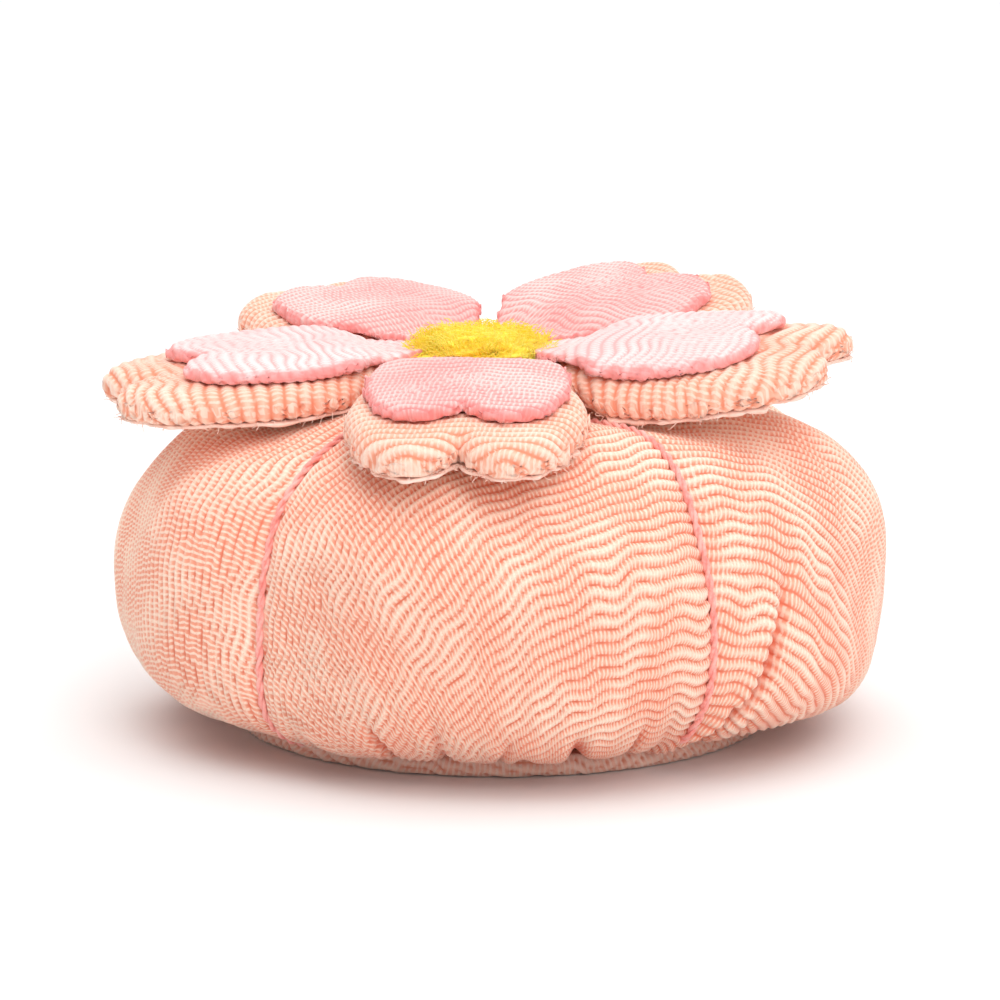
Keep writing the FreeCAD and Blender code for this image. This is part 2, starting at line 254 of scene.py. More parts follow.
@dataclass(frozen=True)
class CrepeFinish:
    """Dyed crepe with painted light: pale painted highlight on the ridges and in ticks across them, painted
    shade in the valleys.
    """

    name: str
    # valley is the colour of the painted shade in the valleys, crest the colour of the painted highlight on
    # the ridges
    valley: tuple
    cloth: tuple
    crest: tuple
    # The deeper colour that the piece's attribute mixes in: painted shade on the bag, a deeper pink edge on
    # the inner petals.
    dye_and_shade: tuple
    dash_pitch: float = 0.52
    dash_strength: float = 0.95
    mottle: float = 0.12
    sheen: float = 0.25

    def material(self) -> bpy.types.Material:
        """Make the cloth's material.

        Returns:
            The material, which reads the piece's "cloth" map and its crest and dye_and_shade attributes,
            the last deepening the colour: painted shade on the bag, a deeper pink edge on the inner petals.
        """
        s = Shader(self.name)
        cloth = s.out(s.node("ShaderNodeUVMap", {"uv_map": "cloth"}))
        parts = s.node("ShaderNodeSeparateXYZ", None, {0: cloth})
        along, across = s.out(parts, 0), s.out(parts, 1)
        stray = s.noise(cloth, 0.55, 2.0)
        phase = along / self.dash_pitch + stray * 1.3 + across * 0.21
        dash = s.smooth(s.math("SINE", phase * (2 * math.pi)), -0.35, 0.75)
        crest = s.attribute("crest")
        on_crest = s.smooth(crest, 0.15, 0.7)
        grain = s.noise(cloth, 4.0, 3.0)
        # Painted shade: the colour darkens from the ridges down into the valleys.
        body = s.mix(s.smooth(crest, 0.0, 0.8), self.valley, self.cloth)
        # Painted highlight: a bright line along each crest and ticks across it, laid over the weave's float
        # pattern.
        line = s.smooth(crest, 0.6, 0.95) * (dash * 0.32 + 0.68)
        ticks = dash * s.smooth(crest, 0.1, 0.45) * 0.75
        float_highlight = s.math("MAXIMUM", line, ticks) * self.dash_strength * s.smooth(grain, 0.1, 0.5)
        lit = s.mix(float_highlight, body, self.crest)
        patch = s.noise(cloth, 0.045, 3.0)
        lit = s.mix(s.smooth(patch, 0.35, 0.75) * self.mottle, lit, self.valley)
        # Deepen the colour by the attribute: painted shade in the bag's folds and low on it, a deeper pink
        # edge on the inner petals.
        dyed_and_shaded = s.mix(s.attribute("dye_and_shade"), lit, self.dye_and_shade)
        height = dash * on_crest * 0.6 + grain * 0.35
        roughness = 0.86 - float_highlight * 0.12
        return s.finish(dyed_and_shaded, roughness, height, 0.5, 0.13, self.sheen, {"Sheen Roughness": 0.4})


@dataclass(frozen=True)
class FibreFinish:
    """Loose or twisted fibre, coloured by a noise between two tones."""

    name: str
    dark: tuple
    light: tuple
    scale: float = 900.0
    bump: float = 0.4
    sheen: float = 0.3
    glow: float = 0.0

    def material(self) -> bpy.types.Material:
        """Make the fibre's material.

        Returns:
            The material, which reads Object coordinates.
        """
        s = Shader(self.name)
        place = s.out(s.node("ShaderNodeTexCoord"), "Object")
        grain = s.noise(place, self.scale, 3.0, False)
        patch = s.noise(place, self.scale * 0.2, 2.0, False)
        colour = s.mix(s.smooth(grain * 0.5 + patch * 0.5, 0.35, 0.65), self.dark, self.light)
        extra = {"Subsurface Weight": self.glow, "Subsurface Scale": 1.5 * MM} if self.glow else None
        return s.finish(colour, 0.8, grain, self.bump, 0.08, self.sheen, extra)


class Finish(Enum):
    """The finishes of the cushion's pieces."""

    # In each crepe finish the valley colour is painted shade and the crest colour painted highlight; the
    # body's deep orange (226, 104, 72) is painted shade for its folds and lower part.
    BODY = CrepeFinish(
        "body_crepe", screen_colour(232, 124, 94), screen_colour(245, 174, 147),
        screen_colour(255, 236, 216), screen_colour(226, 104, 72), 0.52,
    )
    # The base wears the body's cloth; its colours are painted lighter than the body's to offset the shade
    # it stands in.
    BASE = CrepeFinish(
        "base_crepe", screen_colour(228, 142, 116), screen_colour(255, 206, 184),
        screen_colour(255, 226, 212), screen_colour(220, 130, 110), 0.55,
    )
    PETAL = CrepeFinish(
        "petal_crepe", screen_colour(234, 140, 108), screen_colour(248, 188, 162),
        screen_colour(255, 238, 222), screen_colour(236, 140, 110), 0.50, 0.7,
    )
    # Lit copy of the petals' pink crepe: lighter, with painted highlight, for the side petals.
    LIT_PINK = CrepeFinish(
        "pink_crepe", screen_colour(244, 168, 166), screen_colour(249, 204, 202),
        screen_colour(255, 240, 238), screen_colour(246, 146, 142), 0.45, 0.7, 0.2,
    )
    # Shaded copy of the same pink crepe: deeper, with painted shade, for the front and back petals.
    SHADED_PINK = CrepeFinish(
        "shaded_pink_crepe", screen_colour(236, 134, 132), screen_colour(246, 176, 170),
        screen_colour(255, 232, 228), screen_colour(244, 138, 134), 0.45, 0.75, 0.35,
    )
    LINING = FibreFinish("lining", screen_colour(244, 196, 176), screen_colour(255, 228, 214))
    FLOSS = FibreFinish("floss", screen_colour(240, 140, 130), screen_colour(252, 184, 174), 2500.0)
    WOOL = FibreFinish(
        "yellow_wool", screen_colour(255, 212, 30), screen_colour(255, 232, 84), 700.0, 0.15, 0.1, 0.5
    )
    THREAD = FibreFinish("thread", screen_colour(226, 190, 184), screen_colour(246, 226, 220), 3000.0)
    WADDING = FibreFinish("wadding", screen_colour(226, 224, 218), screen_colour(250, 250, 246), 400.0)
    CARD = FibreFinish("card", screen_colour(196, 184, 160), screen_colour(216, 206, 184), 1200.0, 0.2, 0.0)


class Wardrobe:
    """Makes each finish once and dresses pieces with it."""

    def __init__(self) -> None:
        """Start with no material made."""
        self.made: dict[Finish, bpy.types.Material] = {}

    def dress(self, piece: bpy.types.Object, finish: Finish) -> None:
        """Give a piece its material."""
        if finish not in self.made:
            self.made[finish] = finish.value.material()
        piece.data.materials.clear()
        piece.data.materials.append(self.made[finish])


# ---------------------------------------------------------------- cloth and meshes


def select_only(piece: bpy.types.Object) -> None:
    """Select one piece and make it the active one."""
    bpy.ops.object.select_all(action="DESELECT")
    piece.select_set(True)
    bpy.context.view_layer.objects.active = piece


def middle_of(node: str) -> np.ndarray:
    """The middle of a frame node seen from above, in millimetres, at height 0."""
    low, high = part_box(node)
    return np.array([(low.x + high.x) / 2, (low.y + high.y) / 2, 0]) / MM


@dataclass(frozen=True)
class Crepe:
    """The relief of crepe: ridges that wander, meet and fade."""

    pitch: float
    height: float
    seed: int
    wander: float = 0.3
    drift: float = 0.9
    sharp: float = 0.55

    def relief(self, along: np.ndarray, across: np.ndarray) -> np.ndarray:
        """How high the cloth stands at a place, 0 in a valley to 1 on a ridge.

        Args:
            along: Place along the ridges, in millimetres.
            across: Place across them, in millimetres.

        Returns:
            The share of the ridge height.
        """
        wiggle = Waves(self.seed, 3.6, 8.0, 0.6)(along, across)
        drift = Waves(self.seed + 1, 14.0, 40.0)(along, across)
        phase = (across + self.wander * wiggle + self.drift * drift) / self.pitch
        off_crest = np.abs(2 * (phase - np.floor(phase)) - 1)
        fade = 0.16 * (1 + np.tanh(Waves(self.seed + 2, 5.0, 14.0)(along, across)))
        return (1 - off_crest**2) ** self.sharp * (1 - fade)


def add_sphere(
    name: str, around: int, rings: int, levels: int = 0
) -> tuple[bpy.types.Object, np.ndarray]:
    """A unit sphere, the start of a soft piece.

    Args:
        name: The piece's name.
        around: Number of segments around.
        rings: Number of rings from pole to pole.
        levels: How often each face is halved both ways.

    Returns:
        The object and its points' directions.
    """
    bpy.ops.object.select_all(action="DESELECT")
    bpy.ops.mesh.primitive_uv_sphere_add(segments=around, ring_count=rings, radius=1)
    piece = bpy.context.object
    piece.name = name
    piece.data.name = name
    if levels:
        finer = piece.modifiers.new("Finer", "SUBSURF")
        finer.subdivision_type = "SIMPLE"
        finer.levels = levels
        finer.render_levels = levels
        bpy.ops.object.modifier_apply(modifier="Finer")
    directions = np.zeros(len(piece.data.vertices) * 3, np.float32)
    piece.data.vertices.foreach_get("co", directions)
    directions = directions.reshape(-1, 3).astype(float)
    return piece, directions / np.linalg.norm(directions, axis=1)[:, None]


def turn_and_share(directions: np.ndarray) -> tuple[np.ndarray, np.ndarray]:
    """A sphere's points as angles from the front and shares of the way up to the top."""
    turn = np.arctan2(directions[:, 0], -directions[:, 1])
    return turn, 0.5 + np.arcsin(np.clip(directions[:, 2], -1, 1)) / math.pi


def set_points(piece: bpy.types.Object, points: np.ndarray) -> None:
    """Move a piece's points, given in millimetres."""
    piece.data.vertices.foreach_set("co", (points * MM).astype(np.float32).ravel())
    piece.data.update()


def get_points(piece: bpy.types.Object) -> np.ndarray:
    """A piece's points in millimetres."""
    points = np.zeros(len(piece.data.vertices) * 3, np.float32)
    piece.data.vertices.foreach_get("co", points)
    return points.reshape(-1, 3).astype(float) / MM


def get_normals(piece: bpy.types.Object) -> np.ndarray:
    """A piece's point normals."""
    normals = np.zeros(len(piece.data.vertices) * 3, np.float32)
    piece.data.vertex_normals.foreach_get("vector", normals)
    return normals.reshape(-1, 3).astype(float)


def face_outwards(piece: bpy.types.Object) -> None:
    """Recalculate a closed piece's faces to point outwards."""
    select_only(piece)
    bpy.ops.object.mode_set(mode="EDIT")
    bpy.ops.mesh.select_all(action="SELECT")
    bpy.ops.mesh.normals_make_consistent(inside=False)
    bpy.ops.object.mode_set(mode="OBJECT")


def shade_smooth(piece: bpy.types.Object) -> None:
    """Shade a piece's faces smooth."""
    select_only(piece)
    bpy.ops.object.shade_smooth()


def store_number(piece: bpy.types.Object, name: str, values: np.ndarray) -> None:
    """Keep one number for each of a piece's points, for its material."""
    attribute = piece.data.attributes.new(name, "FLOAT", "POINT")
    attribute.data.foreach_set("value", values.astype(np.float32))


def store_cloth_map(piece: bpy.types.Object, along: np.ndarray, across: np.ndarray) -> None:
    """Keep the cloth's own coordinates, in millimetres, as the piece's only map."""
    for old in list(piece.data.uv_layers):
        piece.data.uv_layers.remove(old)
    layer = piece.data.uv_layers.new(name="cloth")
    corners = np.zeros(len(piece.data.loops), np.int32)
    piece.data.loops.foreach_get("vertex_index", corners)
    pairs = np.stack([along[corners], across[corners]], axis=1)
    layer.uv.foreach_set("vector", pairs.astype(np.float32).ravel())


def raise_crepe(
    piece: bpy.types.Object, crepe: Crepe, along: np.ndarray, across: np.ndarray,
    strength: np.ndarray | float = 1.0, dye_and_shade: np.ndarray | None = None,
) -> None:
    """Raise the crepe's ridges on a piece and keep what its material reads.

    Args:
        piece: The smooth piece.
        crepe: The cloth's relief.
        along: Place of each point along the ridges.
        across: Place of each point across them.
        strength: Share of the full relief at each point.
        dye_and_shade: How much deeper each point's colour is, 0 to 1: painted shade in the bag's folds and
            low on it, a deeper pink edge on the inner petals.
    """
    crest = crepe.relief(along, across)
    lift = (crest - 0.5) * crepe.height * strength
    set_points(piece, get_points(piece) + get_normals(piece) * np.atleast_1d(lift)[:, None])
    store_number(piece, "crest", crest)
    store_number(piece, "dye_and_shade", np.zeros(len(crest)) if dye_and_shade is None else dye_and_shade)
    store_cloth_map(piece, along, across)
    shade_smooth(piece)


# ---------------------------------------------------------------- body


@dataclass
class Crease:
    """One fold of the gathered cloth, running up from the base disc."""

    turn: float
    lean: float
    top: float
    depth: float
    width: float
    lip: float = 0.0


@dataclass
class Bag:
    """The stuffed crepe bag, drawn into lobes by the floss."""

    radius: float = 35.9
    low: float = 1.7
    waist: float = 13.5
    high: float = 30.6
    low_core: float = 19.0
    low_power: float = 3.1
    high_core: float = 11.0
    high_power: float = 2.6
    groove_depth: float = 1.7
    groove_power: float = 0.7
    pinch: float = 0.55
    seat_radius: float = 25.3
    seat_high: float = 2.2
    around: int = 100
    rings: int = 50
    levels: int = 3
    pleats: int = 44
    grain: float = 54.0
    grain_skew: float = 0.2
    settle_frames: int = 20
    most_settled: float = 1.6
    filling_gap: float = 3.6
    filling_low: float = 4.6
    crepe: Crepe = field(default_factory=lambda: Crepe(1.2, 0.40, 11, 0.15, 0.4, 0.95))
    creases: list[Crease] = field(default_factory=list)
    piece: bpy.types.Object | None = None

    def __post_init__(self) -> None:
        """Work out the outline by its length, and the gathered folds."""
        turn = np.linspace(0, math.pi / 2, 240)
        low_side = self._curve(turn[::-1], self.low_core, self.low_power, self.low)
        high_side = self._curve(turn, self.high_core, self.high_power, self.high)
        outline = np.concatenate([[[0, self.low]], low_side, high_side[1:], [[0, self.high]]])
        steps = np.linalg.norm(np.diff(outline, axis=0), axis=1)
        self.lengths = np.concatenate([[0], np.cumsum(steps)])
        self.outline = outline
        draw = np.random.default_rng(5)
        for i in range(self.pleats):
            self.creases.append(
                Crease(
                    turn=math.radians(360 / self.pleats * (i + draw.uniform(-0.38, 0.38))),
                    lean=math.radians(draw.uniform(-0.5, 0.5)),
                    top=draw.uniform(8.0, 17.0),
                    depth=draw.uniform(0.4, 1.3),
                    width=draw.uniform(0.45, 0.9),
                )
            )
        self.creases.append(
            Crease(math.radians(35.5), math.radians(0.62), 27.0, 2.3, 0.75, 0.8)
        )

    def _curve(self, turn: np.ndarray, core: float, power: float, end: float) -> np.ndarray:
        """A quarter of the outline, as radius and height."""
        out = core + (self.radius - core) * np.cos(turn) ** (2 / power)
        up = self.waist + (end - self.waist) * np.sin(turn) ** (2 / power)
        return np.stack([out, up], axis=1)

    def groove(self, turn: np.ndarray) -> np.ndarray:
        """1 under the floss, 0 on top of a lobe."""
        return 1 - np.abs(np.cos(LOBES / 2 * turn)) ** self.groove_power

    def form(self, turn: np.ndarray, share: np.ndarray, shrink: float = 0.0) -> np.ndarray:
        """Points of the bag without its folds.

        Args:
            turn: Angle from the front lobe.
            share: Share of the outline's length from the middle of the underside.
            shrink: How far the form is moved in.

        Returns:
            Points in millimetres.
        """
        place = share * self.lengths[-1]
        out = np.interp(place, self.lengths, self.outline[:, 0])
        up = np.interp(place, self.lengths, self.outline[:, 1])
        draw_in = self.groove_depth * out / self.radius * self.groove(turn)
        groove_gap = np.abs((turn * LOBES / (2 * math.pi)) % 1 - 0.5) * 2 * math.pi / LOBES * out
        draw_in += self.pinch * np.exp(-((groove_gap / 1.1) ** 2)) * smooth_step(8, 20, out)
        out = out - draw_in
        points = np.stack([out * np.sin(turn), -out * np.cos(turn), up], axis=1)
        if shrink:
            points += self.inward(points) * shrink
        return points

    def fold(self, turn: np.ndarray, share: np.ndarray) -> np.ndarray:
        """How far the gathered folds move the cloth, inwards below 0."""
        place = share * self.lengths[-1]
        out = np.interp(place, self.lengths, self.outline[:, 0])
        rise = place - np.interp(self.seat_radius, self.outline[:120, 0], self.lengths[:120])
        move = np.zeros(len(turn))
        for crease in self.creases:
            gap = (turn - crease.turn - crease.lean * rise + math.pi) % (2 * math.pi) - math.pi
            gap = gap * out
            fade = (1 - smooth_step(crease.top * 0.45, crease.top, rise)) * smooth_step(-4, -1, rise)
            move -= crease.depth * fade * np.exp(-((gap / crease.width) ** 2))
            if crease.lip:
                move += crease.lip * fade * np.exp(-(((gap + 1.3) / 0.9) ** 2))
        return move

    def settle(self) -> np.ndarray:
        """Let the bag swell between its floss as cloth, on a coarse twin.

        Returns:
            How far each coarse point moved, as rows from the underside up by columns around.
        """
        around, rings, grow = 120, 60, 10.0
        twin, directions = add_sphere("bag_twin", around, rings)
        turn, share = turn_and_share(directions)
        start = self.form(turn, share, 0.5)
        set_points(twin, start * grow)
        near_floss = np.abs(np.cos(LOBES / 2 * turn)) < 0.09
        out = np.hypot(start[:, 0], start[:, 1])
        held = near_floss | (share < 0.30) | ((share > 0.8) & (out < 12))
        group = twin.vertex_groups.new(name="held")
        group.add([int(i) for i in np.flatnonzero(held)], 1.0, "REPLACE")
        cloth = twin.modifiers.new("Cloth", "CLOTH")
        cloth.settings.quality = 6
        cloth.settings.mass = 0.3
        cloth.settings.tension_stiffness = 18
        cloth.settings.compression_stiffness = 18
        cloth.settings.bending_stiffness = 0.6
        cloth.settings.use_pressure = True
        cloth.settings.uniform_pressure_force = 4.0
        cloth.settings.effector_weights.gravity = 0
        cloth.settings.vertex_group_mass = "held"
        for number in range(1, self.settle_frames + 1):
            bpy.context.scene.frame_set(number)
        select_only(twin)
        bpy.ops.object.modifier_apply(modifier="Cloth")
        moved = get_points(twin) / grow - start
        bpy.context.scene.frame_set(1)
        mesh = twin.data
        bpy.data.objects.remove(twin)
        bpy.data.meshes.remove(mesh)
        length = np.linalg.norm(moved, axis=1)
        moved *= (np.minimum(length, self.most_settled) / np.maximum(length, 1e-9))[:, None]
        LOG.info(
            "bag settled: the cloth moved up to %.2f mm, cut at %.1f mm",
            length.max(), self.most_settled,
        )
        column = np.round(turn / (2 * math.pi) * around).astype(int) % around
        row = np.round(share * rings).astype(int)
        grid = np.zeros((rings + 1, around, 3))
        grid[row, column] = moved
        grid[0] = grid[0].sum(0) / np.maximum((row == 0).sum(), 1)
        grid[rings] = grid[rings].sum(0) / np.maximum((row == rings).sum(), 1)
        return grid

    @staticmethod
    def read_grid(grid: np.ndarray, turn: np.ndarray, share: np.ndarray) -> np.ndarray:
        """The coarse movement at finer points, by smooth weights between four points."""
        rings, around = grid.shape[0] - 1, grid.shape[1]
        x = (turn / (2 * math.pi) * around) % around
        y = np.clip(share * rings, 0, rings - 1e-6)
        left, below = np.floor(x).astype(int), np.floor(y).astype(int)
        across, up = (x - left)[:, None], (y - below)[:, None]
        across = across * across * (3 - 2 * across)
        up = up * up * (3 - 2 * up)
        right = (left + 1) % around
        lower = grid[below, left % around] * (1 - across) + grid[below, right] * across
        upper = grid[below + 1, left % around] * (1 - across) + grid[below + 1, right] * across
        return lower * (1 - up) + upper * up

    def build(self) -> bpy.types.Object:
        """Model the bag.

        Returns:
            The finished piece.
        """
        grid = self.settle()
        piece, directions = add_sphere("body_bag", self.around, self.rings, self.levels)
        turn, share = turn_and_share(directions)
        points = self.form(turn, share)
        if grid is not None:
            points += self.read_grid(grid, turn, share)
            shrink = 0.08 + 0.42 * smooth_step(0.72, 0.88, share)
            points += self.inward(points) * shrink[:, None]
        set_points(piece, points)
        lumps = 0.35 * Waves(21, 16, 30)(turn * self.radius, share * self.lengths[-1])
        lumps *= smooth_step(0.28, 0.4, share)
        set_points(piece, points + get_normals(piece) * (self.fold(turn, share) + lumps)[:, None])
        # The bag is cut flat and draped from the top, so its cloth is measured from there.
        from_top = (1 - share) * self.lengths[-1]
        skewed = turn + math.radians(self.grain) + self.grain_skew * np.sin(turn)
        along = -from_top * np.cos(skewed)
        across = from_top * np.sin(skewed)
        hidden = smooth_step(0.10, 0.25, share)
        # The colour deepened here is painted shade in the folds and low on the bag.
        raise_crepe(piece, self.crepe, along, across, hidden, self.painted_fold_and_low_shade(turn, share))
        points = get_points(piece)
        out = np.hypot(points[:, 0], points[:, 1])
        over_seat = out < self.seat_radius
        points[over_seat, 2] = np.maximum(points[over_seat, 2], self.seat_high)
        set_points(piece, points)
        self.piece = piece
        return piece

    def inward(self, points: np.ndarray) -> np.ndarray:
        """Unit vectors from points to the middle of the bag."""
        toward = np.array([0, 0, self.waist]) - points
        return toward / np.linalg.norm(toward, axis=1)[:, None]

    def painted_fold_and_low_shade(self, turn: np.ndarray, share: np.ndarray) -> np.ndarray:
        """Painted shade, 0 to 1: the colour deepens inside the folds and towards the bottom of the bag."""
        rise = (share - 0.22) * self.lengths[-1]
        # Painted shade, full low on the bag and fading out over 19 mm of cloth above.
        gathered = 0.45 * (1 - smooth_step(0, 19, rise))
        # Painted shade inside each fold, deeper where the fold is deeper.
        return np.clip(-self.fold(turn, share) - 0.25, 0, 1.3) * 0.62 + gathered

    def build_filling(self) -> bpy.types.Object:
        """Model the wadding ball inside the bag.

        Returns:
            The finished piece.
        """
        piece, directions = add_sphere("stuffing_ball", 160, 80)
        turn, share = turn_and_share(directions)
        points = self.form(turn, share, self.filling_gap)
        points[:, 2] = np.maximum(points[:, 2], self.filling_low)
        rough = 0.25 * Waves(31, 3, 7)(points[:, 0] + points[:, 2], points[:, 1] - points[:, 2])
        set_points(piece, points)
        set_points(piece, points + get_normals(piece) * (rough - 0.3)[:, None])
        shade_smooth(piece)
        return piece

    def surface(self) -> BVHTree:
        """The finished bag, for laying the floss on."""
        mesh = self.piece.data
        mesh.calc_loop_triangles()
        points = [v.co for v in mesh.vertices]
        return BVHTree.FromPolygons(points, [tuple(t.vertices) for t in mesh.loop_triangles])


# ---------------------------------------------------------------- threads


def tubes_from_lines(
    name: str, lines: list[np.ndarray], radius: float, sides: int = 2
) -> bpy.types.Object:
    """Round strands along lines, as one mesh.

    Args:
        name: The piece's name.
        lines: Points of each strand, in millimetres.
        radius: Radius of a strand.
        sides: Bevel resolution of a strand's section.

    Returns:
        The mesh object.
    """
    curve = bpy.data.curves.new(name, "CURVE")
    curve.dimensions = "3D"
    curve.bevel_depth = radius * MM
    curve.bevel_resolution = sides
    curve.use_fill_caps = True
    for line in lines:
        spline = curve.splines.new("POLY")
        spline.points.add(len(line) - 1)
        flat = np.concatenate([line * MM, np.ones((len(line), 1))], axis=1)
        spline.points.foreach_set("co", flat.astype(np.float32).ravel())
    strands = bpy.data.objects.new(name, curve)
    bpy.context.scene.collection.objects.link(strands)
    select_only(strands)
    bpy.ops.object.convert(target="MESH")
    piece = bpy.context.object
    piece.name = name
    shade_smooth(piece)
    return piece


@dataclass
class Floss:
    """Embroidery floss laid in the grooves between the lobes."""

    ply_radius: float = 0.2
    twist: float = 0.17
    turn_length: float = 3.0
    plies: int = 2
    core_height: float = 16.0
    top_angle: float = 74.0
    low_angle: float = -30.5
    steps: int = 90
    lift: float = 0.32

    def twist_plies(self, path: np.ndarray) -> list[np.ndarray]:
        """Lines of the plies twisted about a path.

        Args:
            path: Points of the path, in millimetres.

        Returns:
            One line for each ply.
        """
        along = np.concatenate([[0], np.cumsum(np.linalg.norm(np.diff(path, axis=0), axis=1))])
        even = np.linspace(0, along[-1], int(along[-1] / 0.22))
        path = np.stack([np.interp(even, along, path[:, k]) for k in range(3)], axis=1)
        ahead = np.gradient(path, axis=0)
        ahead /= np.linalg.norm(ahead, axis=1)[:, None]
        side = np.cross(ahead, [0.31, 0.17, 0.93])
        side /= np.linalg.norm(side, axis=1)[:, None]
        over = np.cross(ahead, side)
        lines = []
        for i in range(self.plies):
            angle = (even / self.turn_length * 2 * math.pi + 2 * math.pi * i / self.plies)[:, None]
            lines.append(path + (side * np.cos(angle) + over * np.sin(angle)) * self.twist)
        return lines

    def build(self, bag: Bag) -> list[bpy.types.Object]:
        """Lay one length of floss in each groove.

        Args:
            bag: The finished bag.

        Returns:
            The pieces, numbered as the frame's threads.
        """
        tree = bag.surface()
        heart = Vector((0, 0, self.core_height * MM))
        pieces = []
        for i in range(LOBES):
            turn = math.pi * (2 * i + 1) / LOBES
            out = Vector((math.sin(turn), -math.cos(turn), 0))
            points = []
            for step in np.linspace(self.top_angle, self.low_angle, self.steps):
                lift = math.radians(step)
                ray = out * math.cos(lift) + Vector((0, 0, math.sin(lift)))
                hit, normal, _, _ = tree.ray_cast(heart, ray)
                if hit is not None:
                    points.append((np.array(hit) / MM, np.array(normal)))
            path = np.array([p for p, _ in points])
            for _ in range(4):
                path[1:-1] = (path[:-2] + 2 * path[1:-1] + path[2:]) / 4
            away = path - np.array([0, 0, self.core_height])
            away /= np.linalg.norm(away, axis=1)[:, None]
            path = path + away * self.lift
            pieces.append(
                tubes_from_lines(f"floss_{i + 1}", self.twist_plies(path), self.ply_radius)
            )
        return pieces


# ---------------------------------------------------------------- petals


@dataclass(frozen=True)
class Outline:
    """The flat outline of a notched petal, pointing along +X from the blossom's centre."""

    root: tuple[float, float]
    side: tuple[float, float]
    corner: tuple[float, float]
    tip: tuple[float, float]
    notch: float
    middle: float
    arcs: tuple[float, float, float] = (19.0, 6.6, 6.0)

    @staticmethod
    def _arc(start: np.ndarray, end: np.ndarray, radius: float) -> np.ndarray:
        """Points of an arc that bulges to the left of its direction, without its end."""
        chord = end - start
        half = np.linalg.norm(chord) / 2
        left = np.array([-chord[1], chord[0]]) / (2 * half)
        depth = math.sqrt(max(radius**2 - half**2, 0))
        centre = (start + end) / 2 - left * depth
        sweep = 2 * math.asin(min(half / radius, 1))
        first = math.atan2(start[1] - centre[1], start[0] - centre[0])
        angles = first - np.linspace(0, sweep, 30, endpoint=False)
        return centre + radius * np.stack([np.cos(angles), np.sin(angles)], axis=1)

    def points(self, inset: float = 0.0) -> np.ndarray:
        """The closed outline, anticlockwise from above, moved in by an inset."""
        root = np.array(self.root) + [inset, -inset * 0.6]
        side = np.array(self.side) + [0, -inset]
        corner = np.array(self.corner) + [-inset * 0.6, -inset * 0.9]
        tip = np.array(self.tip) + [-inset * 1.25, -inset * 0.1]
        notch = np.array([self.notch - inset, 0.0])
        half = np.concatenate(
            [
                root + (side - root) * np.linspace(0, 1, 24, endpoint=False)[:, None],
                self._arc(side, corner, self.arcs[0]),
                self._arc(corner, tip, self.arcs[1]),
                self._arc(tip, notch, self.arcs[2]),
                [notch],
            ]
        )
        mirrored = half[-2::-1] * [1, -1]
        return np.concatenate([half, mirrored])[::-1]


class Bend:
    """Carries a petal's own coordinates to its place in the blossom."""

    def __init__(
        self, name: str, turn: float, tip: float, droop: float, lean: float, arch: float
    ) -> None:
        """Read the petal's hinge from the frame.

        Args:
            name: The petal's name.
            turn: Its direction, degrees from the front.
            tip: How far it is tipped up, degrees.
            droop: How far its tip curls down, millimetres.
            lean: Slope of the cloth down towards its +Y side.
            arch: How strongly both sides curve down, per millimetre.
        """
        joint = next(j for j in frame["joints"] if j["name"] == f"petal_{name}_lift")
        self.centre = middle_of("flower_stitches") + [0, 0, joint["pos_m"][2] / MM]
        self.hinge = float(np.linalg.norm(np.array(joint["pos_m"][:2]) / MM - self.centre[:2]))
        self.turn = math.radians(turn)
        self.tip = math.radians(tip)
        self.droop = droop
        self.lean = lean
        self.arch = arch
        self.out = np.array([math.sin(self.turn), -math.cos(self.turn), 0.0])
        self.side = np.array([math.cos(self.turn), math.sin(self.turn), 0.0])

    def place(self, points: np.ndarray) -> np.ndarray:
        """Row-frame points, in millimetres, from the petal's own."""
        reach = points[:, 0] - self.hinge
        curl = self.droop * np.clip(reach / 28, 0, None) ** 2.2
        sag = (self.lean + self.arch * points[:, 1]) * points[:, 1] * smooth_step(0, 11, reach)
        up = points[:, 2] - curl - sag
        bent = np.clip(reach, 0, None)
        flat = np.clip(reach, None, 0)
        cos_tip, sin_tip = math.cos(self.tip), math.sin(self.tip)
        out = self.hinge + flat + bent * cos_tip - np.where(reach > 0, up, 0) * sin_tip
        rise = bent * sin_tip + up * np.where(reach > 0, cos_tip, 1)
        return (
            self.centre
            + out[:, None] * self.out
            + points[:, 1:2] * self.side
            + rise[:, None] * np.array([0, 0, 1.0])
        )

    def blend_ends(self) -> tuple[Vector, Vector]:
        """Where the cloth starts and ends its bend between the cushion and the petal."""
        start = (self.centre + self.out * (self.hinge - 1.6)) * MM
        end = (self.centre + self.out * (self.hinge + 2.4)) * MM
        return Vector(start), Vector(end)


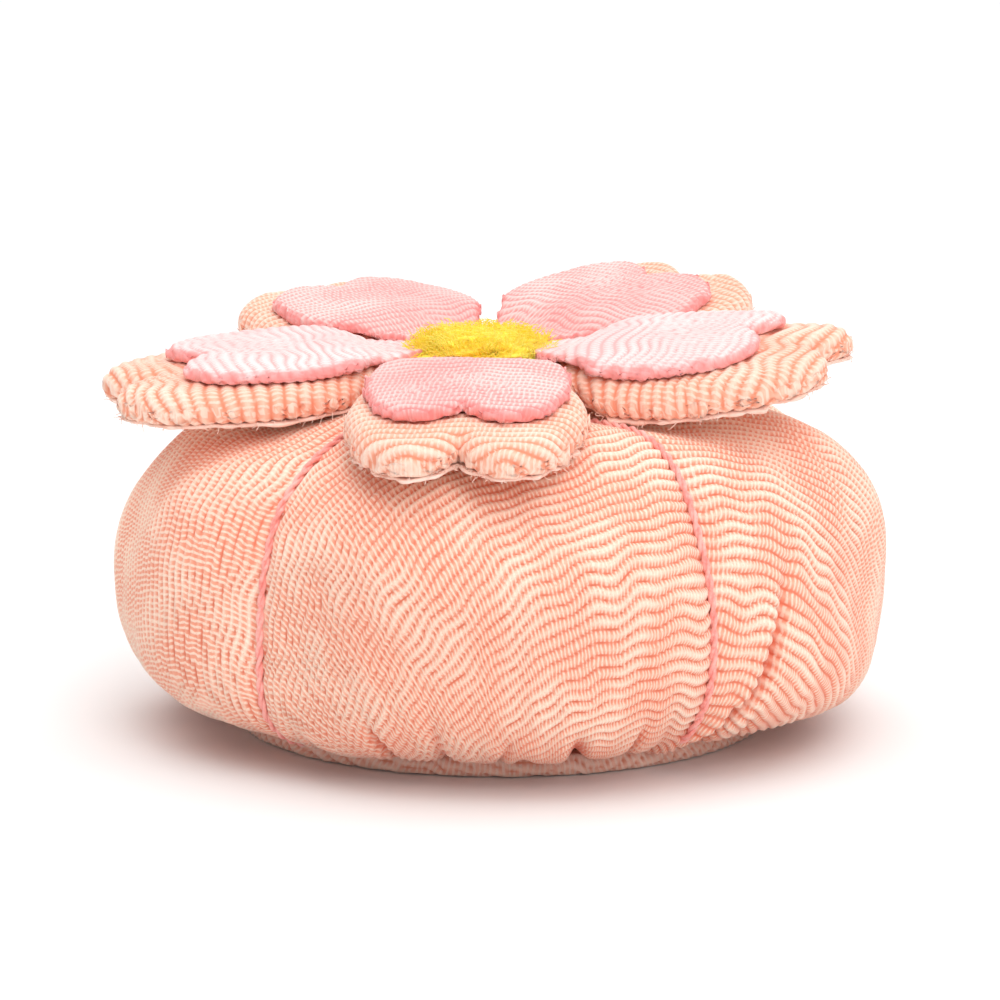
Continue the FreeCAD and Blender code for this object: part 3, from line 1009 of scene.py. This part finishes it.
@dataclass
class Pad:
    """A padded petal-shaped piece between two heights of its petal's own frame."""

    outline: Outline
    low: float
    rim: float
    high: float
    top_round: float
    low_round: float
    around: int
    rings: int
    levels: int = 0
    inset: float = 0.0
    wobble: float = 0.0
    crown: float = 0.0

    def lay(self, directions: np.ndarray, seed: int) -> tuple[np.ndarray, np.ndarray, np.ndarray]:
        """Lay a sphere's points over the petal.

        Args:
            directions: The sphere's points.
            seed: Seed of the outline's unevenness.

        Returns:
            The points, the cloth's flat coordinates, and the distance from the outline.
        """
        outline = self.outline.points(self.inset)
        middle = np.array([self.outline.middle, 0.0])
        around = np.arctan2(directions[:, 1], directions[:, 0]) % (2 * math.pi)
        closed = np.concatenate([outline, outline[:1]])
        along = np.concatenate([[0], np.cumsum(np.linalg.norm(np.diff(closed, axis=0), axis=1))])
        place = around / (2 * math.pi) * along[-1]
        edge = np.stack([np.interp(place, along, closed[:, k]) for k in range(2)], axis=1) - middle
        uneven = Waves(seed, 1.2, 4.0)(np.cos(around) * 12, np.sin(around) * 12)
        edge *= (1 + self.wobble * uneven / np.linalg.norm(edge, axis=1))[:, None]
        level = np.clip(np.hypot(directions[:, 0], directions[:, 1]), 0, 1)
        flat = middle + level[:, None] * edge
        gap = self.from_outline(flat, closed)
        toward = edge / np.linalg.norm(edge, axis=1)[:, None]
        gap = np.where(level > 0.9999, 0, gap)
        upper = directions[:, 2] > 0
        rounding = np.where(upper, self.top_round, self.low_round)
        inside = 1 - np.minimum(gap / rounding, 1)
        bulge = np.sqrt(np.clip(1 - inside**2, 0, 1))
        taper = 0.36 + 0.64 * smooth_step(4.0, 14.0, flat[:, 0])
        high = self.high * taper + self.crown * (1 - np.exp(-gap / 3.0))
        rim = self.rim * taper
        height = np.where(upper, rim + (high - rim) * bulge, rim - (rim - self.low) * bulge)
        angle = np.arcsin(np.clip(inside, 0, 1))
        wrapped = np.where(upper, angle, math.pi - angle)
        extra = rounding * (wrapped - inside)
        sheet = flat + toward * extra[:, None]
        return np.column_stack([flat, height]), sheet, gap

    @staticmethod
    def from_outline(points: np.ndarray, closed: np.ndarray) -> np.ndarray:
        """Distance of points from a closed line."""
        best = np.full(len(points), 1e9)
        for start, end in zip(closed[:-1], closed[1:]):
            run = end - start
            share = np.clip(((points - start) @ run) / max(run @ run, 1e-12), 0, 1)
            best = np.minimum(best, np.linalg.norm(start + share[:, None] * run - points, axis=1))
        return best

    def build(self, name: str, bend: Bend, seed: int) -> tuple[bpy.types.Object, np.ndarray, np.ndarray]:
        """Model the smooth piece in its place.

        Args:
            name: The piece's name.
            bend: The petal's place.
            seed: Seed of its unevenness.

        Returns:
            The piece, its cloth's flat coordinates, and the distance from the outline.
        """
        piece, directions = add_sphere(name, self.around, self.rings, self.levels)
        points, sheet, gap = self.lay(directions, seed)
        set_points(piece, bend.place(points))
        face_outwards(piece)
        shade_smooth(piece)
        return piece, sheet, gap


OUTER_OUTLINE = Outline((3.0, 1.9), (14.5, 9.3), (27.2, 9.6), (34.8, 4.0), 30.7, 19.0, (17.5, 8.4, 6.0))
CARD_OUTLINE = Outline((10.8, 6.6), (14.5, 9.0), (27.0, 9.2), (34.2, 3.8), 30.2, 19.0, (17.5, 8.4, 6.0))
INNER_OUTLINE = Outline((4.0, 1.9), (13.5, 8.2), (23.4, 8.2), (28.6, 3.8), 25.9, 16.0, (15.0, 5.6, 6.0))
OUTER_FILL = Outline((8.0, 4.4), (14.5, 9.2), (27.0, 9.4), (34.6, 4.0), 30.6, 19.0, (17.5, 8.4, 6.0))
INNER_FILL = Outline((9.0, 4.6), (13.5, 8.0), (23.4, 8.0), (28.6, 3.8), 25.8, 16.0, (15.0, 5.6, 6.0))


@dataclass
class Petal:
    """One double petal of the blossom."""

    name: str
    turn: float
    tip: float
    droop: float
    lean: float
    arch: float
    pink: Finish
    seed: int
    loose_threads: int = 150
    thread_radius: float = 0.035

    def body(self) -> str:
        """The frame body that the petal moves with."""
        return f"petal_{self.name}"

    def build(self, wardrobe: Wardrobe) -> None:
        """Model, dress and hang the petal's pieces.

        Args:
            wardrobe: The finishes.
        """
        bend = Bend(self.name, self.turn, self.tip, self.droop, self.lean, self.arch)
        self.build_outer(bend, wardrobe)
        self.build_inner(bend, wardrobe)
        self.build_lining(bend, wardrobe)
        self.build_fillings(bend, wardrobe)
        self.build_card(bend, wardrobe)
        self.build_fray(bend, wardrobe)

    def hang(self, piece: bpy.types.Object, bend: Bend, across_hinge: bool) -> None:
        """Make a piece move with the petal when it stays on the petal's side of the hinge; a piece that
        crosses the hinge only has its place baked into its points.
        """
        if across_hinge:
            start, end = bend.blend_ends()
            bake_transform(piece)
        else:
            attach(piece, self.body())

    def build_outer(self, bend: Bend, wardrobe: Wardrobe) -> None:
        """The peach crepe cover with its thick rounded rim."""
        pad = Pad(OUTER_OUTLINE, 0.36, 1.25, 3.05, 1.7, 0.7, 68, 21, 2, wobble=0.10)
        piece, sheet, _ = pad.build(f"petal_crepe_{self.name}", bend, self.seed)
        crepe = Crepe(1.3, 0.30, self.seed, 0.17, 0.45, 1.2)
        raise_crepe(piece, crepe, sheet[:, 1], sheet[:, 0])
        wardrobe.dress(piece, Finish.PETAL)
        self.hang(piece, bend, True)
        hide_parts(f"petal_cover_{self.name}")
        LOG.info("%s: %d points", piece.name, len(piece.data.vertices))

    def build_inner(self, bend: Bend, wardrobe: Wardrobe) -> None:
        """The thinner pink petal with its deep pink edge."""
        pad = Pad(INNER_OUTLINE, 3.25, 3.7, 4.45, 0.75, 0.4, 64, 16, 2, wobble=0.14, crown=0.12)
        piece, sheet, gap = pad.build(f"inner_petal_crepe_{self.name}", bend, self.seed + 40)
        crepe = Crepe(1.05, 0.20, self.seed + 40, 0.2, 0.4, 1.1)
        uneven = 0.16 * Waves(self.seed + 41, 1.5, 5.0)(sheet[:, 0], sheet[:, 1])
        # Deeper pink in a band about half a millimetre wide along the edge.
        dye_and_shade = 0.75 * (1 - smooth_step(0.08, 0.5, gap + uneven))
        raise_crepe(piece, crepe, sheet[:, 1], sheet[:, 0], 1.0, dye_and_shade)
        wardrobe.dress(piece, self.pink)
        self.hang(piece, bend, True)
        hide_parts(f"inner_petal_cover_{self.name}")
        LOG.info("%s: %d points", piece.name, len(piece.data.vertices))

    def build_lining(self, bend: Bend, wardrobe: Wardrobe) -> None:
        """The backing cloth, whose cut edge shows under the rim."""
        pad = Pad(OUTER_OUTLINE, 0.0, 0.16, 0.30, 0.1, 0.1, 60, 6, 2, inset=0.3, wobble=0.25)
        piece, _, _ = pad.build(f"petal_lining_{self.name}", bend, self.seed + 80)
        wardrobe.dress(piece, Finish.LINING)
        self.hang(piece, bend, True)
        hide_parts(f"petal_backing_{self.name}")
        outline = OUTER_OUTLINE.points(0.3)

    def build_fillings(self, bend: Bend, wardrobe: Wardrobe) -> None:
        """The wadding inside both covers."""
        outer = Pad(OUTER_FILL, 0.95, 1.4, 2.5, 1.2, 0.4, 64, 20, inset=1.1)
        inner = Pad(INNER_FILL, 3.45, 3.65, 3.95, 0.4, 0.2, 64, 16, inset=1.0)
        for pad, word, node in (
            (outer, "petal_fill", "petal_wadding"),
            (inner, "inner_petal_fill", "inner_petal_wadding"),
        ):
            piece, _, _ = pad.build(f"{word}_{self.name}", bend, self.seed + 120)
            wardrobe.dress(piece, Finish.WADDING)
            self.hang(piece, bend, True)
            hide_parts(f"{node}_{self.name}")

    def build_fray(self, bend: Bend, wardrobe: Wardrobe) -> None:
        """Loose threads at the cut edge of the backing cloth."""
        draw = np.random.default_rng(self.seed + 7)
        outline = OUTER_OUTLINE.points(0.25)
        outline = outline[outline[:, 0] > 11]
        lines = []
        for _ in range(self.loose_threads):
            point = outline[draw.integers(len(outline))]
            heading = np.append(point - [OUTER_OUTLINE.middle, 0], 0)
            heading /= np.linalg.norm(heading)
            heading = heading + draw.normal(size=3) * [0.6, 0.6, 0.35]
            step = draw.uniform(0.05, 0.14) * (2.0 if draw.random() < 0.05 else 1)
            line = [np.append(point, draw.uniform(0.1, 0.5))]
            for _ in range(5):
                heading = heading / np.linalg.norm(heading) + draw.normal(size=3) * 0.4
                line.append(line[-1] + heading * step)
            lines.append(bend.place(np.array(line)))
        piece = tubes_from_lines(f"petal_fray_{self.name}", lines, self.thread_radius, 0)
        wardrobe.dress(piece, Finish.LINING)
        self.hang(piece, bend, True)

    def build_card(self, bend: Bend, wardrobe: Wardrobe) -> None:
        """The card that stiffens the petal, curved as the petal is."""
        pad = Pad(CARD_OUTLINE, 0.42, 0.65, 0.88, 0.1, 0.1, 60, 6, 1, inset=0.9)
        piece, _, _ = pad.build(f"petal_stiffener_{self.name}", bend, self.seed + 160)
        wardrobe.dress(piece, Finish.CARD)
        self.hang(piece, bend, False)
        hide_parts(f"petal_card_{self.name}")


# ---------------------------------------------------------------- tuft


@dataclass
class Tuft:
    """The yellow wool tuft in the middle of the blossom."""

    radius: float = 5.9
    half_height: float = 1.9
    height: float = 34.6
    top: float = 37.0
    forward: float = 1.8
    fibres: int = 4300
    fibre_radius: float = 0.034
    stitches: int = 15
    stitch_radius: float = 0.17
    seed: int = 77

    def build(self, wardrobe: Wardrobe) -> None:
        """Model the felted heart and the loose fibres over it."""
        centre = middle_of("flower_tuft") + [0, -self.forward, self.height]
        heart, directions = add_sphere("tuft_heart", 96, 48)
        first, second = directions[:, 0] * 4, directions[:, 1] * 4 + directions[:, 2] * 3
        size = 1 + 0.07 * Waves(self.seed, 1.2, 3.0)(first, second)
        points = directions * size[:, None] * self.half_size()
        set_points(heart, points + centre)
        shade_smooth(heart)
        fuzz = tubes_from_lines("tuft_fibres", self.lines(centre), self.fibre_radius, 0)
        for piece in (heart, fuzz):
            wardrobe.dress(piece, Finish.WOOL)
            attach(piece, "cushion")
        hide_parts("flower_tuft")
        LOG.info("tuft: %d fibres", self.fibres)

    def half_size(self) -> np.ndarray:
        """Half of the heart's width, depth and height."""
        return np.array([self.radius, self.radius + self.forward, self.half_height])

    def build_stitches(self, wardrobe: Wardrobe) -> None:
        """Model the threads that sew the blossom and its tuft down."""
        low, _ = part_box("flower_stitches")
        centre = middle_of("flower_stitches")
        lines = []
        for i in range(self.stitches):
            turn = 2.4 * i
            reach = 0.55 + 0.13 * i
            foot = np.array([reach * math.cos(turn), reach * math.sin(turn), low.z / MM + 0.35])
            head = np.array([reach * math.cos(turn + 0.5), reach * math.sin(turn + 0.5), self.height])
            lines.append(centre + foot + (head - foot) * np.linspace(0, 1, 9)[:, None])
        piece = tubes_from_lines("blossom_stitches", lines, self.stitch_radius, 2)
        wardrobe.dress(piece, Finish.THREAD)
        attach(piece, "cushion")
        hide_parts("flower_stitches")

    def lines(self, centre: np.ndarray) -> list[np.ndarray]:
        """Curly fibres that leave the heart in all directions."""
        draw = np.random.default_rng(self.seed)
        lines = []
        for _ in range(self.fibres):
            way = draw.normal(size=3)
            way[2] = abs(way[2]) * 0.9 - 0.25
            way /= np.linalg.norm(way)
            start = way * self.half_size() * draw.uniform(0.82, 1.0)
            heading = way * draw.uniform(0.2, 0.9) + draw.normal(size=3) * 0.75
            heading /= np.linalg.norm(heading)
            step = draw.uniform(0.2, 0.5)
            line = [start]
            for _ in range(5):
                heading = heading + draw.normal(size=3) * 0.45 + [0, 0, -0.03]
                heading /= np.linalg.norm(heading)
                line.append(line[-1] + heading * step)
            line = np.array(line) + centre
            over = np.clip(line[:, 2] - self.top + 0.7, 0, None)
            line[:, 2] -= over - 0.7 * (1 - np.exp(-over / 0.7))
            lines.append(line)
        return lines


# ---------------------------------------------------------------- base


@dataclass
class BaseDisc:
    """The crepe wrapped round the card disc that the cushion stands on."""

    radius: float = 24.75
    height: float = 1.98
    rounding: float = 0.75
    hem_radius: float = 19.3
    cloth: float = 0.4

    def build(self, wardrobe: Wardrobe) -> None:
        """Model the cover with its hem turned over onto the card."""
        piece, directions = add_sphere("base_crepe", 120, 30, 2)
        turn = np.arctan2(directions[:, 1], directions[:, 0])
        lift = np.arcsin(np.clip(directions[:, 2], -1, 1)) / (math.pi / 2)
        half = self.height / 2
        # The outline runs from the middle of a face, over the rounded rim, to half height.
        flat_run = self.radius - self.rounding
        arc_run = math.pi / 2 * self.rounding
        wall_run = half - self.rounding
        total = flat_run + arc_run + wall_run
        place = (1 - np.abs(lift)) * total
        angle = np.clip((place - flat_run) / self.rounding, 0, math.pi / 2)
        out = np.minimum(place, flat_run) + self.rounding * np.sin(angle)
        up = half - self.rounding * (1 - np.cos(angle)) - np.clip(place - flat_run - arc_run, 0, None)
        height = half + np.where(lift > 0, up, -up)
        set_points(piece, np.column_stack([out * np.cos(turn), out * np.sin(turn), height]))
        wraps = np.where(lift > 0, 2 * total - place, place)
        along, across = wraps * np.cos(turn), wraps * np.sin(turn)
        edge = smooth_step(flat_run - 2, flat_run, place)
        raise_crepe(piece, Crepe(1.3, 0.42, 61, 0.4, 0.8, 0.9), along, across, 0.35 + 0.65 * edge)
        points = get_points(piece)
        points[:, 2] = np.clip(points[:, 2], 0.0, self.height + 0.02)
        set_points(piece, points)
        self.open_top(piece)
        wardrobe.dress(piece, Finish.BASE)
        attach(piece, "cushion")
        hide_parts("base_cover")
        cut = self.radius + self.height + self.radius - self.hem_radius
        2 * cut * MM
        2 * cut * MM
        math.pi * (cut * MM) ** 2
        LOG.info("base_crepe: cut from a disc of %.1f mm radius", cut)

    def open_top(self, piece: bpy.types.Object) -> None:
        """Cut the cloth away inside the hem and give it its thickness inwards."""
        select_only(piece)
        bpy.ops.object.mode_set(mode="EDIT")
        bpy.ops.mesh.select_mode(type="VERT")
        bpy.ops.mesh.select_all(action="DESELECT")
        bpy.ops.object.mode_set(mode="OBJECT")
        for vertex in piece.data.vertices:
            inside = math.hypot(vertex.co.x, vertex.co.y) < self.hem_radius * MM
            vertex.select = inside and vertex.co.z > self.height / 2 * MM
        bpy.ops.object.mode_set(mode="EDIT")
        bpy.ops.mesh.delete(type="VERT")
        bpy.ops.object.mode_set(mode="OBJECT")
        wall = piece.modifiers.new("Wall", "SOLIDIFY")
        wall.thickness = self.cloth * MM
        wall.offset = -1
        bpy.ops.object.modifier_apply(modifier="Wall")


# ---------------------------------------------------------------- studio


@dataclass
class Studio:
    """Plain floor, soft light and the camera."""

    azimuth: float = 3.4
    elevation: float = 10.5
    distance: float = 390.0
    lens: float = 150.7
    aim: tuple[float, float, float] = (-0.2, 0.0, 20.4)
    floor_gap: float = 0.1
    floor_grey: float = 0.86
    daylight: float = 0.55

    def build(self) -> None:
        """Set up the stage."""
        bpy.ops.object.select_all(action="DESELECT")
        bpy.ops.mesh.primitive_plane_add(size=6, location=(0, 0, -self.floor_gap * MM))
        floor = bpy.context.object
        floor.name = "studio_floor"
        s = Shader("studio_floor")
        floor.data.materials.append(s.finish((self.floor_grey,) * 3 + (1,), 0.9, None))
        world = bpy.data.worlds.new("studio")
        world.use_nodes = True
        background = world.node_tree.nodes["Background"]
        background.inputs[0].default_value = (1, 1, 1, 1)
        background.inputs[1].default_value = self.daylight
        bpy.context.scene.world = world
        self.lamp("top_light", (0.1, 0.2, 1.7), 3.0, 42.0)
        self.lamp("front_light", (0.3, -0.8, 0.55), 0.5, 3.0)
        self.camera()
        bpy.context.scene.view_settings.view_transform = "Standard"

    def lamp(self, name: str, place: tuple[float, float, float], size: float, power: float) -> None:
        """A square soft light aimed at the cushion."""
        bpy.ops.object.light_add(type="AREA", location=place)
        lamp = bpy.context.object
        lamp.name = name
        lamp.data.size = size
        lamp.data.energy = power
        toward = Vector((0, 0, 0.02)) - Vector(place)
        lamp.rotation_euler = toward.to_track_quat("-Z", "Y").to_euler()

    def camera(self) -> None:
        """The camera, from a little above and to the right of the front."""
        turn, lift = math.radians(self.azimuth), math.radians(self.elevation)
        back = Vector(
            (math.sin(turn) * math.cos(lift), -math.cos(turn) * math.cos(lift), math.sin(lift))
        )
        place = (Vector(self.aim) + back * self.distance) * MM
        bpy.ops.object.camera_add(location=place, rotation=(-back).to_track_quat("-Z", "Y").to_euler())
        camera = bpy.context.object
        camera.data.lens = self.lens
        camera.data.sensor_width = 36
        camera.data.clip_start = 0.01
        bpy.context.scene.camera = camera


def build_body(wardrobe: Wardrobe) -> None:
    """The bag, its filling and the floss over it."""
    bag = Bag()
    cover = bag.build()
    wardrobe.dress(cover, Finish.BODY)
    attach(cover, "cushion")
    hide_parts("body_cover")
    LOG.info("body_bag: %d points", len(cover.data.vertices))
    ball = bag.build_filling()
    wardrobe.dress(ball, Finish.WADDING)
    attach(ball, "cushion")
    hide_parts("body_stuffing")
    for number, strand in enumerate(Floss().build(bag), start=1):
        wardrobe.dress(strand, Finish.FLOSS)
        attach(strand, "cushion")
        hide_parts(f"wrap_thread_{number}")
        LOG.info("%s laid", strand.name)


def main() -> None:
    """Build the cushion piece by piece."""
    logging.basicConfig(level=logging.INFO, format="%(asctime)s %(name)s: %(message)s")
    wardrobe = Wardrobe()
    BaseDisc().build(wardrobe)
    build_body(wardrobe)
    # The side petals take the lit copy of the pink crepe and the front and back petals the shaded copy:
    # painted light on one cloth.
    petals = [
        Petal("front", 0, -5.0, 1.2, 0.0, 0.006, Finish.SHADED_PINK, 101),
        Petal("right", 72, 5.0, 0.0, -0.15, 0.0135, Finish.LIT_PINK, 202),
        Petal("back_right", 144, 7.5, -0.3, -0.08, 0.006, Finish.SHADED_PINK, 303),
        Petal("back_left", 216, 3.5, 0.0, 0.06, 0.006, Finish.SHADED_PINK, 404),
        Petal("left", 288, -2.8, 0.3, 0.07, 0.004, Finish.LIT_PINK, 505),
    ]
    for petal in petals:
        petal.build(wardrobe)
    tuft = Tuft()
    tuft.build(wardrobe)
    tuft.build_stitches(wardrobe)
    for name, finish in (
        ("base_board", Finish.CARD),
        ("gathering_thread", Finish.THREAD),
        ("centre_tie", Finish.THREAD),
    ):
        wardrobe.dress(frame["nodes"][name], finish)
    Studio().build()


if __name__ == "__main__":
    main()
